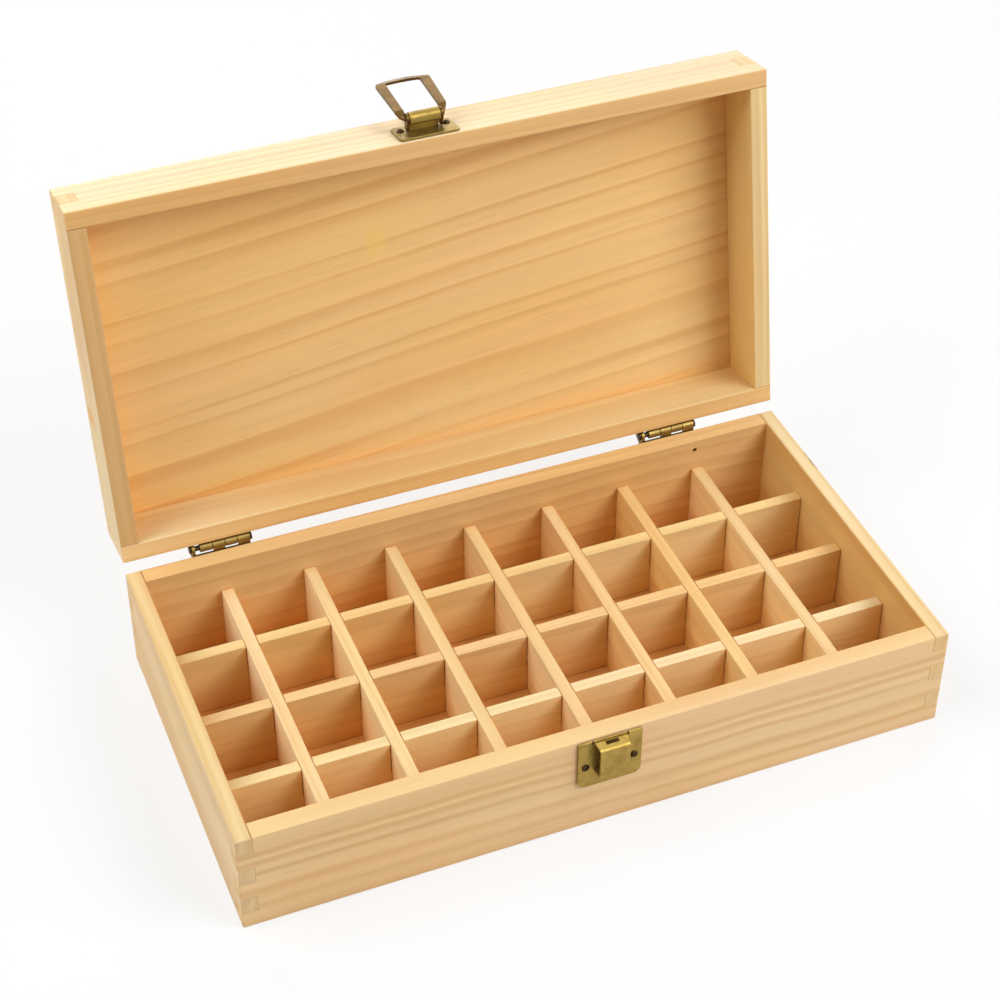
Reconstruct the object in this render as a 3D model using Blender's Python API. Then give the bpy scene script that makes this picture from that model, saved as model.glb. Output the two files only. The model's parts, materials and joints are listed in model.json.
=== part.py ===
"""Pine storage box for small bottles: a base with thirty-two compartments, a hinged lid and a hasp latch.

Real size, in metres, +Z up. The origin is the middle of the base's underside, X runs left to right, and the front
faces -Y. Every piece is shaped as it sits with the lid closed and the loop hanging straight down. Two empties, one
on each joint's axis, then turn the lid open against its hinge stops and fold the loop back against its own stop.
"""

from math import asin, atan2, cos, degrees, pi, radians, sin, tan

import bmesh
import bpy
from mathutils import Matrix, Vector

# Wooden case
BOX_LENGTH = 0.295
BOX_DEPTH = 0.155
BASE_HEIGHT = 0.0475
LID_HEIGHT = 0.0275
WALL = 0.0078
END_WALL = 0.0065
LID_WALL = 0.0077
WOOD_GAP = 0.0002
EDGE_SOFTENING = 0.0007
RIM_SOFTENING_SHARE = 0.5
SOFTENING_STEPS = 2

# Finger joints at the corners
BASE_FINGERS = 6
LID_FINGERS = 3

# Panels let into rebates of the walls
BOTTOM_THICKNESS = 0.0025
TOP_THICKNESS = 0.0025
REBATE = 0.0035

# Dividers, halved into each other
COLUMNS = 8
ROWS = 4
DIVIDER = 0.0051
DIVIDER_DROP = 0.015
HALVING_SHARE = 0.5

# Fits of the metal pieces
SEAT_GAP = 0.0003
RUNNING_GAP = 0.0003
PIN_GAP = 0.00008
HEAD_GAP = 0.0001

# Stop hinges
HINGE_LENGTH = 0.0245
HINGE_RISE = 0.0018
LEFT_HINGE_INSET = 0.0412
RIGHT_HINGE_INSET = 0.0505
LEAF_THICKNESS = 0.0008
LEAF_HEIGHT = 0.0092
HINGE_PIN_RADIUS = 0.0011
HINGE_HEAD_RADIUS = 0.0018
HINGE_HEAD_LENGTH = 0.0008
HINGE_HEAD_TOP_SHARE = 0.7
KNUCKLES = 4
KNUCKLE_WRAP = 285.0
BARE_PIN = 0.0022
STOP_THICKNESS = 0.001
STOP_PROUD = 0.00025
STOP_REACH = 0.0075
STOP_NOSE = 0.0012
STOP_DROP = 0.0075
STOP_EYE_ANGLE = 30.0
LEAF_SCREW_INSET = 0.003
LEAF_SCREW_DROP = 0.0068
LID_OPEN_ANGLE = 100.8

# Round-headed screws with a cross recess
SCREW_HEAD_RADIUS = 0.0016
SCREW_HEAD_HEIGHT = 0.0009
SCREW_RIM_HEIGHT = 0.0002
SCREW_SHANK_RADIUS = 0.0008
SCREW_LENGTH = 0.006
LONG_SCREW_LENGTH = 0.0095
SCREW_TIP = 0.0014
SCREW_HOLE_GAP = 0.00025
PILOT_SPARE = 0.0005
RECESS_SPAN = 0.0017
RECESS_WIDTH = 0.0004
RECESS_DEPTH = 0.00045

# Strike plate with its hooked tongue, on the front of the base
LATCH_SHEET = 0.0008
STRIKE_WIDTH = 0.0265
STRIKE_HEIGHT = 0.0235
STRIKE_DROP = 0.001
STRIKE_CORNER = 0.003
STRIKE_SCREW_SPREAD = 0.0202
STRIKE_SCREW_DROP = 0.0139
TONGUE_WIDTH = 0.0135
TONGUE_TIP_WIDTH = 0.0122
TONGUE_REACH = 0.0062
TONGUE_SLOPE = 0.0009
TONGUE_HEIGHT = 0.0154
TONGUE_BEND = 0.0012
TONGUE_SLOT_WIDTH = 0.0054
TONGUE_SLOT_DEPTH = 0.0017
TONGUE_SLOT_INSET = 0.0008
RELIEF_WIDTH = 0.0009
RELIEF_DEPTH = 0.0014

# Lid plate with its bent lug
LID_PLATE_WIDTH = 0.025
LID_PLATE_HEIGHT = 0.014
LID_PLATE_RISE = 0.0012
LID_PLATE_CORNER = 0.0015
LID_SCREW_SPREAD = 0.0194
LID_SCREW_RISE = 0.0102
LUG_WIDTH = 0.0127
LUG_LIP = 0.0026
LUG_WINDOW_DEPTH = 0.0026
PIVOT_OUT = 0.0068
PIVOT_RISE = 0.008

# Stamped loop whose stubs turn in the lug
LOOP_SHEET = 0.0012
LOOP_REACH = 0.0284
LOOP_BAR = 0.0034
LOOP_WIDTH = 0.0232
LOOP_KNEE_WIDTH = 0.0216
LOOP_ARM = 0.0034
LOOP_KNEE = 0.0036
LOOP_OFFSET = 0.0013
LOOP_BOW = 0.0028
LOOP_WINDOW_BOW = 0.0007
LOOP_CORNER = 0.0014
LOOP_WINDOW_CORNER = 0.0009
LOOP_LIP = 0.0012
EAR_SHEET = 0.001
EAR_RADIUS = 0.0022
EAR_TAIL_WIDTH = 0.0021
STUB_RADIUS = 0.0015
STUB_LENGTH = 0.0042
LOOP_FOLD_TILT = 11.8

# Fineness of round forms, and how far cutters run past what they cut
TURN_STEPS = 24
SCREW_STEPS = 16
BEND_STEPS = 4
OVERRUN = 0.001
SAME_PLACE = 0.00001

# Sizes that follow from those above
HALF_LENGTH = BOX_LENGTH / 2
HALF_DEPTH = BOX_DEPTH / 2
LID_RIM = BASE_HEIGHT + WOOD_GAP
LID_TOP = BASE_HEIGHT + LID_HEIGHT
KNUCKLE_RADIUS = HINGE_PIN_RADIUS + PIN_GAP + LEAF_THICKNESS
CURL_LINE = KNUCKLE_RADIUS - LEAF_THICKNESS / 2
LEAF_CUT = KNUCKLE_RADIUS + RUNNING_GAP
HINGE_Y = HALF_DEPTH + SEAT_GAP + KNUCKLE_RADIUS
HINGE_Z = BASE_HEIGHT + HINGE_RISE
PLATE_FACE = SEAT_GAP + LATCH_SHEET
PLATE_LINE = SEAT_GAP + LATCH_SHEET / 2
LUG_LINE = STUB_RADIUS + PIN_GAP + LATCH_SHEET / 2
HALF_LUG = LUG_WIDTH / 2
EAR_START = HALF_LUG + RUNNING_GAP
FRONT = -HALF_DEPTH
DIVIDER_TOP = BASE_HEIGHT - DIVIDER_DROP
COLUMN_PITCH = (BOX_LENGTH - 2 * END_WALL + DIVIDER) / COLUMNS
ROW_PITCH = (BOX_DEPTH - 2 * WALL + DIVIDER) / ROWS

PINE_SIDE = (0.76, 0.52, 0.31)
PINE_PANEL = (0.72, 0.46, 0.22)
PINE_DIVIDER = (0.83, 0.56, 0.31)
BRONZE = (0.36, 0.28, 0.11)
DARK_BRONZE = (0.17, 0.11, 0.05)
WOOD_ROUGHNESS = 0.62
BRONZE_ROUGHNESS = 0.42
BRONZE_METALLIC = 0.9
SHARP_ANGLE = 35.0


def clear_scene():
    """Remove whatever the file holds."""
    for old in list(bpy.data.objects):
        bpy.data.objects.remove(old, do_unlink=True)


def finish_material(piece, colour, roughness, metallic):
    """Give a piece a plain material of its own."""
    material = bpy.data.materials.new(piece.name + "_finish")
    material.use_nodes = True
    shader = material.node_tree.nodes["Principled BSDF"]
    shader.inputs["Base Color"].default_value = (*colour, 1)
    shader.inputs["Roughness"].default_value = roughness
    shader.inputs["Metallic"].default_value = metallic
    piece.data.materials.append(material)


def wood(piece, colour):
    """Bare planed pine."""
    finish_material(piece, colour, WOOD_ROUGHNESS, 0)


def metal(piece, colour):
    """Antiqued bronze plating, on a form whose round faces are shaded smooth."""
    piece.data.shade_smooth()
    piece.data.set_sharp_from_angle(angle=radians(SHARP_ANGLE))
    finish_material(piece, colour, BRONZE_ROUGHNESS, BRONZE_METALLIC)


def hang(piece, parent):
    """Hang a piece, placed as it sits in the closed box, from an empty that turns it."""
    if parent:
        piece.parent = parent
        piece.matrix_parent_inverse = Matrix.Translation(-parent.location)


def joint_axis(name, location, tilt, parent=None):
    """An empty on a joint's axis, which runs along X."""
    empty = bpy.data.objects.new(name, None)
    bpy.context.collection.objects.link(empty)
    empty.location = location
    empty.rotation_euler = (radians(tilt), 0, 0)
    hang(empty, parent)
    return empty


def new_object(name, builder, parent=None, place=(0, 0, 0)):
    """Turn a bmesh into a named object with its faces pointing out."""
    bmesh.ops.recalc_face_normals(builder, faces=builder.faces)
    mesh = bpy.data.meshes.new(name)
    builder.to_mesh(mesh)
    builder.free()
    piece = bpy.data.objects.new(name, mesh)
    bpy.context.collection.objects.link(piece)
    piece.location = place
    hang(piece, parent)
    return piece


def in_space(plane, point, level):
    """A point of an outline, set into space at one level of the third axis."""
    first, second = point
    if plane == "YZ":
        return (level, first, second)
    if plane == "XZ":
        return (first, level, second)
    return (first, second, level)


def extrude_outline(builder, outline, plane, start, stop):
    """Add the prism that an outline sweeps between two levels."""
    corners = [builder.verts.new(in_space(plane, point, start)) for point in outline]
    swept = bmesh.ops.extrude_face_region(builder, geom=[builder.faces.new(corners)])
    moved = [item for item in swept["geom"] if isinstance(item, bmesh.types.BMVert)]
    bmesh.ops.translate(builder, verts=moved, vec=in_space(plane, (0, 0), stop - start))


def prism(name, outline, plane, start, stop, parent=None, place=(0, 0, 0)):
    """A piece made by extruding one outline."""
    builder = bmesh.new()
    extrude_outline(builder, outline, plane, start, stop)
    return new_object(name, builder, parent, place)


def rectangle(left, right, low, high):
    """Outline of a rectangle."""
    return [(left, low), (right, low), (right, high), (left, high)]


def arc(centre, radius, start, stop, steps):
    """Points along an arc, with angles in degrees."""
    angles = [radians(start + (stop - start) * step / steps) for step in range(steps + 1)]
    return [(centre[0] + radius * cos(angle), centre[1] + radius * sin(angle)) for angle in angles]


def circle(centre, radius, steps):
    """Outline of a full circle."""
    return arc(centre, radius, 0, 360, steps)[:-1]


def rounded_path(corners, radius, closed=False):
    """A path whose inner corners are turned into arcs of one radius."""
    count = len(corners)
    path = [] if closed else [corners[0]]
    for index in range(count if closed else count - 2):
        before, corner, after = (Vector(corners[(index + step) % count]) for step in range(3))
        arriving = (before - corner).normalized()
        leaving = (after - corner).normalized()
        half_angle = arriving.angle(leaving) / 2
        setback = radius / tan(half_angle)
        centre = corner + (arriving + leaving).normalized() * (radius / sin(half_angle))
        first = corner + arriving * setback - centre
        last = corner + leaving * setback - centre
        start = degrees(atan2(first.y, first.x))
        turn = (degrees(atan2(last.y, last.x)) - start + 180) % 360 - 180
        path += arc(centre, radius, start, start + turn, BEND_STEPS)
    return path if closed else path + [corners[-1]]


def sheet_outline(path, thickness):
    """Outline of sheet metal that follows a path, half its thickness to each side."""
    points = [Vector(point) for point in path]
    headings = [(after - before).normalized() for before, after in zip(points, points[1:])]
    left_side = []
    right_side = []
    for index, point in enumerate(points):
        behind = headings[max(index - 1, 0)]
        ahead = headings[min(index, len(headings) - 1)]
        along = (behind + ahead).normalized()
        across = Vector((-along.y, along.x)) * (thickness / 2 / along.dot(ahead))
        left_side.append(tuple(point + across))
        right_side.append(tuple(point - across))
    return left_side + right_side[::-1]


def combine(piece, operand, operation):
    """Cut another form from a piece, add it, or keep only what both share."""
    operand.hide_render = True
    operand.display_type = "WIRE"
    modifier = piece.modifiers.new(f"{operation.lower()}_{operand.name}", "BOOLEAN")
    modifier.operation = operation
    modifier.solver = "EXACT"
    modifier.object = operand


def soften(piece, width, share_of_edge):
    """Ease the edges that a rule picks, each by its share of the width."""
    builder = bmesh.new()
    builder.from_mesh(piece.data)
    weights = builder.edges.layers.float.new("bevel_weight_edge")
    for edge in builder.edges:
        edge[weights] = share_of_edge(edge.verts[0].co, edge.verts[1].co)
    builder.to_mesh(piece.data)
    builder.free()
    modifier = piece.modifiers.new("softened_edges", "BEVEL")
    modifier.width = width
    modifier.segments = SOFTENING_STEPS
    modifier.limit_method = "WEIGHT"


def same(first, second):
    """Whether two places are the same but for rounding."""
    return abs(first - second) < SAME_PLACE


def jointed_end(low, high, wall, count, owns_rim, rim_is_high):
    """The jointed end of a wall as (set-back, height) points, from its low edge to its high one.

    Fingers that the wall owns run out to the corner, and the others stop short of the wall that crosses there.
    """
    pitch = (high - low) / count
    points = []
    for index in range(count):
        from_rim = count - 1 - index if rim_is_high else index
        own = owns_rim == (from_rim % 2 == 0)
        set_back = 0 if own else wall + WOOD_GAP
        trim = WOOD_GAP / 2 if own else -WOOD_GAP / 2
        bottom = low if index == 0 else low + index * pitch + trim
        top = high if index == count - 1 else low + (index + 1) * pitch - trim
        points += [(set_back, bottom), (set_back, top)]
    return points


def wall_outline(half_span, end):
    """Outline of a wall with the same joint at both ends."""
    left = [(-half_span + set_back, height) for set_back, height in end]
    right = [(half_span - set_back, height) for set_back, height in end]
    return left + right[::-1]


def case_edge_share(low, high, wall, end_wall, rim):
    """Rule that picks the outer edges of a case fully and the inner edges of its rim in part."""

    def share(first, second):
        on_side = same(abs(first.x), HALF_LENGTH) and same(abs(second.x), HALF_LENGTH)
        on_front = same(abs(first.y), HALF_DEPTH) and same(abs(second.y), HALF_DEPTH)
        on_level = same(first.z, second.z) and (same(first.z, low) or same(first.z, high))
        if on_side + on_front + on_level > 1:
            return 1.0
        on_rim = same(first.z, rim) and same(second.z, rim)
        along_side = same(abs(first.x), HALF_LENGTH - end_wall) and same(first.x, second.x)
        along_front = same(abs(first.y), HALF_DEPTH - wall) and same(first.y, second.y)
        return RIM_SOFTENING_SHARE if on_rim and (along_side or along_front) else 0.0

    return share


def case_walls(prefix, low, high, wall, end_wall, fingers, rim_is_high, parent):
    """Four finger-jointed walls; the sides own the base's rim, and the front and back own the lid's."""
    rim = high if rim_is_high else low
    front_end = jointed_end(low, high, end_wall, fingers, not rim_is_high, rim_is_high)
    side_end = jointed_end(low, high, wall, fingers, rim_is_high, rim_is_high)
    front_outline = wall_outline(HALF_LENGTH, front_end)
    side_outline = wall_outline(HALF_DEPTH, side_end)
    plans = {
        "front": (front_outline, "XZ", FRONT, FRONT + wall),
        "back": (front_outline, "XZ", HALF_DEPTH - wall, HALF_DEPTH),
        "left": (side_outline, "YZ", -HALF_LENGTH, -HALF_LENGTH + end_wall),
        "right": (side_outline, "YZ", HALF_LENGTH - end_wall, HALF_LENGTH),
    }
    walls = {}
    for side, (outline, plane, start, stop) in plans.items():
        walls[side] = prism(f"{prefix}_{side}_wall", outline, plane, start, stop, parent)
        soften(walls[side], EDGE_SOFTENING, case_edge_share(low, high, wall, end_wall, rim))
        wood(walls[side], PINE_SIDE)
    return walls


def case_panel(name, walls, wall, end_wall, low, high, cut_low, cut_high, parent):
    """A panel let into a rebate round the walls, flush with their outer edges."""
    half_x = HALF_LENGTH - end_wall + REBATE
    half_y = HALF_DEPTH - wall + REBATE
    rebate_outline = rectangle(-half_x, half_x, -half_y, half_y)
    rebate = prism(f"{name}_rebate", rebate_outline, "XY", cut_low, cut_high, parent)
    for board in walls.values():
        combine(board, rebate, "DIFFERENCE")
    panel_outline = rectangle(WOOD_GAP - half_x, half_x - WOOD_GAP, WOOD_GAP - half_y, half_y - WOOD_GAP)
    wood(prism(name, panel_outline, "XY", low, high, parent), PINE_PANEL)


def divider_outline(half_span, low, places, slots_up):
    """Outline of a divider with a slot, open upward or downward, wherever another crosses it."""
    half_slot = DIVIDER / 2 + WOOD_GAP
    halving = low + (DIVIDER_TOP - low) * HALVING_SHARE
    mouth, back = (DIVIDER_TOP, low) if slots_up else (low, DIVIDER_TOP)
    slot_end = halving - WOOD_GAP / 2 if slots_up else halving + WOOD_GAP / 2
    outline = [(-half_span, back), (-half_span, mouth)]
    for place in places:
        outline += [(place - half_slot, mouth), (place - half_slot, slot_end)]
        outline += [(place + half_slot, slot_end), (place + half_slot, mouth)]
    return outline + [(half_span, mouth), (half_span, back)]


def set_of_dividers(name, places, outline, plane):
    """Dividers of one outline, one at each place across the box."""
    for index, place in enumerate(places):
        divider = prism(f"{name}_{index + 1}", outline, plane, place - DIVIDER / 2, place + DIVIDER / 2)
        wood(divider, PINE_DIVIDER)


def dividers(low):
    """Long dividers slotted from above, and cross dividers slotted from below that sit over them."""
    columns = [(index + 1 - COLUMNS / 2) * COLUMN_PITCH for index in range(COLUMNS - 1)]
    rows = [(index + 1 - ROWS / 2) * ROW_PITCH for index in range(ROWS - 1)]
    long_outline = divider_outline(HALF_LENGTH - END_WALL - WOOD_GAP, low, columns, True)
    cross_outline = divider_outline(HALF_DEPTH - WALL - WOOD_GAP, low, rows, False)
    set_of_dividers("long_divider", rows, long_outline, "XZ")
    set_of_dividers("cross_divider", columns, cross_outline, "YZ")


def turned(name, profile, steps, parent=None, place=(0, 0, 0)):
    """A solid turned about local Z from a half outline that starts and ends on the axis."""
    builder = bmesh.new()
    points = [builder.verts.new((radius, 0, height)) for radius, height in profile]
    edges = [builder.edges.new(pair) for pair in zip(points, points[1:])]
    bmesh.ops.spin(builder, geom=points + edges, cent=(0, 0, 0), axis=(0, 0, 1), angle=2 * pi, steps=steps)
    bmesh.ops.remove_doubles(builder, verts=builder.verts, dist=SAME_PLACE)
    return new_object(name, builder, parent, place)


def screw_profile(length):
    """Half outline of a screw from the top of its head to its point, with its seat at height zero."""
    rise = SCREW_HEAD_HEIGHT - SCREW_RIM_HEIGHT
    dome_radius = (SCREW_HEAD_RADIUS**2 + rise**2) / (2 * rise)
    half_dome = degrees(asin(SCREW_HEAD_RADIUS / dome_radius))
    dome = arc((0, SCREW_HEAD_HEIGHT - dome_radius), dome_radius, 90, 90 - half_dome, BEND_STEPS)
    shank = [(SCREW_HEAD_RADIUS, 0), (SCREW_SHANK_RADIUS, 0), (SCREW_SHANK_RADIUS, SCREW_TIP - length)]
    return dome + shank + [(0, -length)]


def cross_outline():
    """Outline of a cross recess."""
    far = RECESS_SPAN / 2
    near = RECESS_WIDTH / 2
    outline = []
    for cosine, sine in ((1, 0), (0, 1), (-1, 0), (0, -1)):
        quarter = [(far, -near), (far, near), (near, near)]
        outline += [(x * cosine - y * sine, x * sine + y * cosine) for x, y in quarter]
    return outline


def screw(name, place, tilt, length, parent):
    """A screw with its seat at a place and its head along the tilted local Z."""
    piece = turned(name, screw_profile(length), SCREW_STEPS, parent, place)
    floor = SCREW_HEAD_HEIGHT - RECESS_DEPTH
    recess = prism(f"{name}_recess", cross_outline(), "XY", floor, SCREW_HEAD_HEIGHT + OVERRUN, parent, place)
    combine(piece, recess, "DIFFERENCE")
    piece.rotation_euler.x = tilt
    recess.rotation_euler.x = tilt
    metal(piece, DARK_BRONZE)


def fasten(name, plate, wall, places, lengths, face, outward, plate_depth, parent=None):
    """Screw a plate to a wall: holes through the plate, pilot holes in the wall, and the screws themselves.

    The wall's face is square to Y, outward is the sign of the direction away from it, and places are (x, z).
    """
    hole_radius = SCREW_SHANK_RADIUS + SCREW_HOLE_GAP
    above = face + outward * (plate_depth + OVERRUN)
    for index, ((x, z), length) in enumerate(zip(places, lengths)):
        floor = face - outward * (length - plate_depth + PILOT_SPARE)
        hole = circle((x, z), hole_radius, SCREW_STEPS)
        pilot = prism(f"{name}_pilot_{index + 1}", hole, "XZ", above, floor, parent)
        combine(plate, pilot, "DIFFERENCE")
        combine(wall, pilot, "DIFFERENCE")
        seat = face + outward * (plate_depth + HEAD_GAP)
        screw(f"{name}_screw_{index + 1}", (x, seat, z), -outward * pi / 2, length, parent)


def hinge_leaf(name, left, up, clear_sections, parent=None):
    """A leaf with curls only in its own sections; up is 1 for the lid's leaf and -1 for the base's."""
    axis = (0, HINGE_Y, HINGE_Z)
    curl = arc((0, 0), CURL_LINE, 180, 180 + up * KNUCKLE_WRAP, TURN_STEPS)
    outline = sheet_outline([(-CURL_LINE, up * LEAF_HEIGHT)] + curl, LEAF_THICKNESS)
    leaf = prism(name, outline, "YZ", left, left + HINGE_LENGTH, parent, axis)
    reach = KNUCKLE_RADIUS + OVERRUN
    room = rectangle(-reach, reach, -up * reach, up * LEAF_CUT)
    builder = bmesh.new()
    for start, stop in clear_sections:
        extrude_outline(builder, room, "YZ", start, stop)
    combine(leaf, new_object(f"{name}_clearance", builder, parent, axis), "DIFFERENCE")
    return leaf


def stop_outline():
    """Side outline of the bracket that the lid's leaf lands on, about the hinge's axis."""
    lean = radians(LID_OPEN_ANGLE - 90)
    leaf_face = KNUCKLE_RADIUS - LEAF_THICKNESS

    def under_leaf(y):
        return leaf_face / cos(lean) - y * tan(lean) - RUNNING_GAP

    near = LEAF_CUT + RUNNING_GAP
    eye = arc((0, 0), KNUCKLE_RADIUS, 180, STOP_EYE_ANGLE, 3 * BEND_STEPS)
    landing = [(near, under_leaf(near)), (STOP_REACH, under_leaf(STOP_REACH))]
    return [(-CURL_LINE, -STOP_DROP)] + eye + landing + [(STOP_REACH, -STOP_NOSE)]


def hinge_pin(name, left):
    """A pin with a head at each end, which stays with the base."""
    start = left - STOP_PROUD - RUNNING_GAP
    run = HINGE_LENGTH + STOP_PROUD + 2 * RUNNING_GAP
    top_radius = HINGE_HEAD_RADIUS * HINGE_HEAD_TOP_SHARE
    shoulder = HINGE_HEAD_LENGTH * HINGE_HEAD_TOP_SHARE
    head = [(0, HINGE_HEAD_LENGTH), (top_radius, HINGE_HEAD_LENGTH), (HINGE_HEAD_RADIUS, shoulder)]
    head += [(HINGE_HEAD_RADIUS, 0), (HINGE_PIN_RADIUS, 0)]
    tail = [(radius, -run - height) for radius, height in head[::-1]]
    pin = turned(f"{name}_pin", head + tail, TURN_STEPS, None, (start, HINGE_Y, HINGE_Z))
    pin.rotation_euler.y = -pi / 2
    metal(pin, DARK_BRONZE)


def hinge(name, left, base_wall, lid_wall, lid_axis, last_screw_length):
    """A stop hinge: two leaves with curled knuckles, a headed pin and a bracket that stops the lid."""
    first = left + STOP_THICKNESS + BARE_PIN
    pitch = (left + HINGE_LENGTH - first) / KNUCKLES
    edges = [first + index * pitch for index in range(KNUCKLES + 1)]
    half_gap = RUNNING_GAP / 2
    sections = [(start - half_gap, stop + half_gap) for start, stop in zip(edges, edges[1:])]
    bare = (left - OVERRUN, first)
    first_section = (left - OVERRUN, sections[0][1])
    base_leaf = hinge_leaf(f"{name}_base_leaf", left, -1, [first_section] + sections[2::2])
    lid_leaf = hinge_leaf(f"{name}_lid_leaf", left, 1, [bare] + sections[1::2], lid_axis)

    axis = (0, HINGE_Y, HINGE_Z)
    bracket_start = left - STOP_PROUD
    bracket_stop = left + STOP_THICKNESS
    bracket = prism(f"{name}_stop", stop_outline(), "YZ", bracket_start, bracket_stop, None, axis)
    combine(base_leaf, bracket, "UNION")
    bore = circle((0, 0), HINGE_PIN_RADIUS + PIN_GAP, TURN_STEPS)
    eye = prism(f"{name}_eye", bore, "YZ", bracket_start - OVERRUN, bracket_stop + OVERRUN, None, axis)
    combine(base_leaf, eye, "DIFFERENCE")
    hinge_pin(name, left)

    columns = (left + LEAF_SCREW_INSET, left + HINGE_LENGTH - LEAF_SCREW_INSET)
    depth = SEAT_GAP + LEAF_THICKNESS
    base_places = [(x, HINGE_Z - LEAF_SCREW_DROP) for x in columns]
    lid_places = [(x, HINGE_Z + LEAF_SCREW_DROP) for x in columns]
    base_lengths = (SCREW_LENGTH, last_screw_length)
    lid_lengths = (SCREW_LENGTH, SCREW_LENGTH)
    fasten(f"{name}_base", base_leaf, base_wall, base_places, base_lengths, HALF_DEPTH, 1, depth)
    fasten(f"{name}_lid", lid_leaf, lid_wall, lid_places, lid_lengths, HALF_DEPTH, 1, depth, lid_axis)
    metal(base_leaf, BRONZE)
    metal(lid_leaf, BRONZE)


def strike_outline(top):
    """Outline of the strike plate, notched on both sides of the tongue's root."""
    half_width = STRIKE_WIDTH / 2
    low = top - STRIKE_HEIGHT
    foot = rounded_path([(-half_width, top), (-half_width, low), (half_width, low), (half_width, top)], STRIKE_CORNER)
    inner = TONGUE_WIDTH / 2
    outer = inner + RELIEF_WIDTH
    notch_floor = top - RELIEF_DEPTH
    notch = [(outer, top), (outer, notch_floor), (inner, notch_floor), (inner, top)]
    return foot + notch + [(-x, z) for x, z in notch[::-1]]


def strike_plate(base_wall):
    """Plate on the base's front with a hooked tongue bent from its top edge."""
    top = BASE_HEIGHT - STRIKE_DROP
    plate = prism("latch_strike_plate", strike_outline(top), "XZ", FRONT - SEAT_GAP, FRONT - PLATE_FACE)

    half_sheet = LATCH_SHEET / 2
    shelf = top - half_sheet
    out = TONGUE_REACH - half_sheet
    tip = top - TONGUE_HEIGHT + half_sheet
    corners = [(PLATE_LINE, shelf - TONGUE_BEND - OVERRUN), (PLATE_LINE, shelf), (out, shelf - TONGUE_SLOPE)]
    corners += [(out, tip), (PLATE_FACE + RUNNING_GAP, tip)]
    side_outline = sheet_outline(rounded_path(corners, TONGUE_BEND), LATCH_SHEET)
    half_root = TONGUE_WIDTH / 2
    half_tip = TONGUE_TIP_WIDTH / 2
    placed_outline = [(FRONT - reach, height) for reach, height in side_outline]
    tongue = prism("latch_tongue_sheet", placed_outline, "YZ", -half_root - OVERRUN, half_root + OVERRUN)
    root_line = FRONT - PLATE_FACE
    tip_line = FRONT - TONGUE_REACH
    right_edge = [(half_root, FRONT + OVERRUN), (half_root, root_line), (half_tip, tip_line)]
    right_edge.append((half_tip, tip_line - OVERRUN))
    plan_outline = right_edge + [(-x, y) for x, y in right_edge[::-1]]
    plan = prism("latch_tongue_plan", plan_outline, "XY", top - STRIKE_HEIGHT, top + OVERRUN)
    combine(tongue, plan, "INTERSECT")
    combine(plate, tongue, "UNION")

    slot_back = root_line - TONGUE_SLOT_INSET
    half_slot = TONGUE_SLOT_WIDTH / 2
    slot_outline = rectangle(-half_slot, half_slot, slot_back - TONGUE_SLOT_DEPTH, slot_back)
    slot_floor = top - LATCH_SHEET - TONGUE_SLOPE - OVERRUN
    combine(plate, prism("latch_tongue_slot", slot_outline, "XY", slot_floor, top + OVERRUN), "DIFFERENCE")
    places = [(side * STRIKE_SCREW_SPREAD / 2, BASE_HEIGHT - STRIKE_SCREW_DROP) for side in (-1, 1)]
    lengths = (SCREW_LENGTH, SCREW_LENGTH)
    fasten("latch_strike", plate, base_wall, places, lengths, FRONT, -1, PLATE_FACE)
    metal(plate, BRONZE)


def lid_plate(lid_wall, lid_axis):
    """Plate on the lid's front whose middle tab is bent out, over the loop's stubs and in again under them."""
    low = BASE_HEIGHT + LID_PLATE_RISE
    half_width = LID_PLATE_WIDTH / 2
    corners = rectangle(-half_width, half_width, low, low + LID_PLATE_HEIGHT)
    outline = rounded_path(corners, LID_PLATE_CORNER, closed=True)
    plate = prism("latch_lid_plate", outline, "XZ", FRONT - SEAT_GAP, FRONT - PLATE_FACE, lid_axis)

    pivot = (PIVOT_OUT, BASE_HEIGHT + PIVOT_RISE)
    root = pivot[1] + LUG_LINE
    foot = pivot[1] - LUG_LINE
    inside = PIVOT_OUT - LUG_LINE
    path = [(PLATE_LINE, root)] + arc(pivot, LUG_LINE, 90, -90, 3 * BEND_STEPS)
    path += rounded_path([(PIVOT_OUT, foot), (inside, foot), (inside, foot + LUG_LIP)], LATCH_SHEET)[1:]
    lug_outline = [(FRONT - out, height) for out, height in sheet_outline(path, LATCH_SHEET)]
    sill = root + LATCH_SHEET / 2
    window_outline = rectangle(-HALF_LUG, HALF_LUG, sill, sill + LUG_WINDOW_DEPTH)
    window = prism("latch_lid_window", window_outline, "XZ", FRONT, FRONT - PLATE_FACE - OVERRUN, lid_axis)
    combine(plate, window, "DIFFERENCE")
    combine(plate, prism("latch_lug", lug_outline, "YZ", -HALF_LUG, HALF_LUG, lid_axis), "UNION")
    places = [(side * LID_SCREW_SPREAD / 2, BASE_HEIGHT + LID_SCREW_RISE) for side in (-1, 1)]
    lengths = (SCREW_LENGTH, SCREW_LENGTH)
    fasten("latch_lid", plate, lid_wall, places, lengths, FRONT, -1, PLATE_FACE, lid_axis)
    metal(plate, BRONZE)


def mirrored(outline):
    """A half outline that ends on the middle line, carried on to its mirror image."""
    return outline + [(-x, z) for x, z in outline[-2::-1]]


def bow(height, share):
    """Height of a shallow bow at a share of its half span."""
    return height * (1 - share**2)


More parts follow.
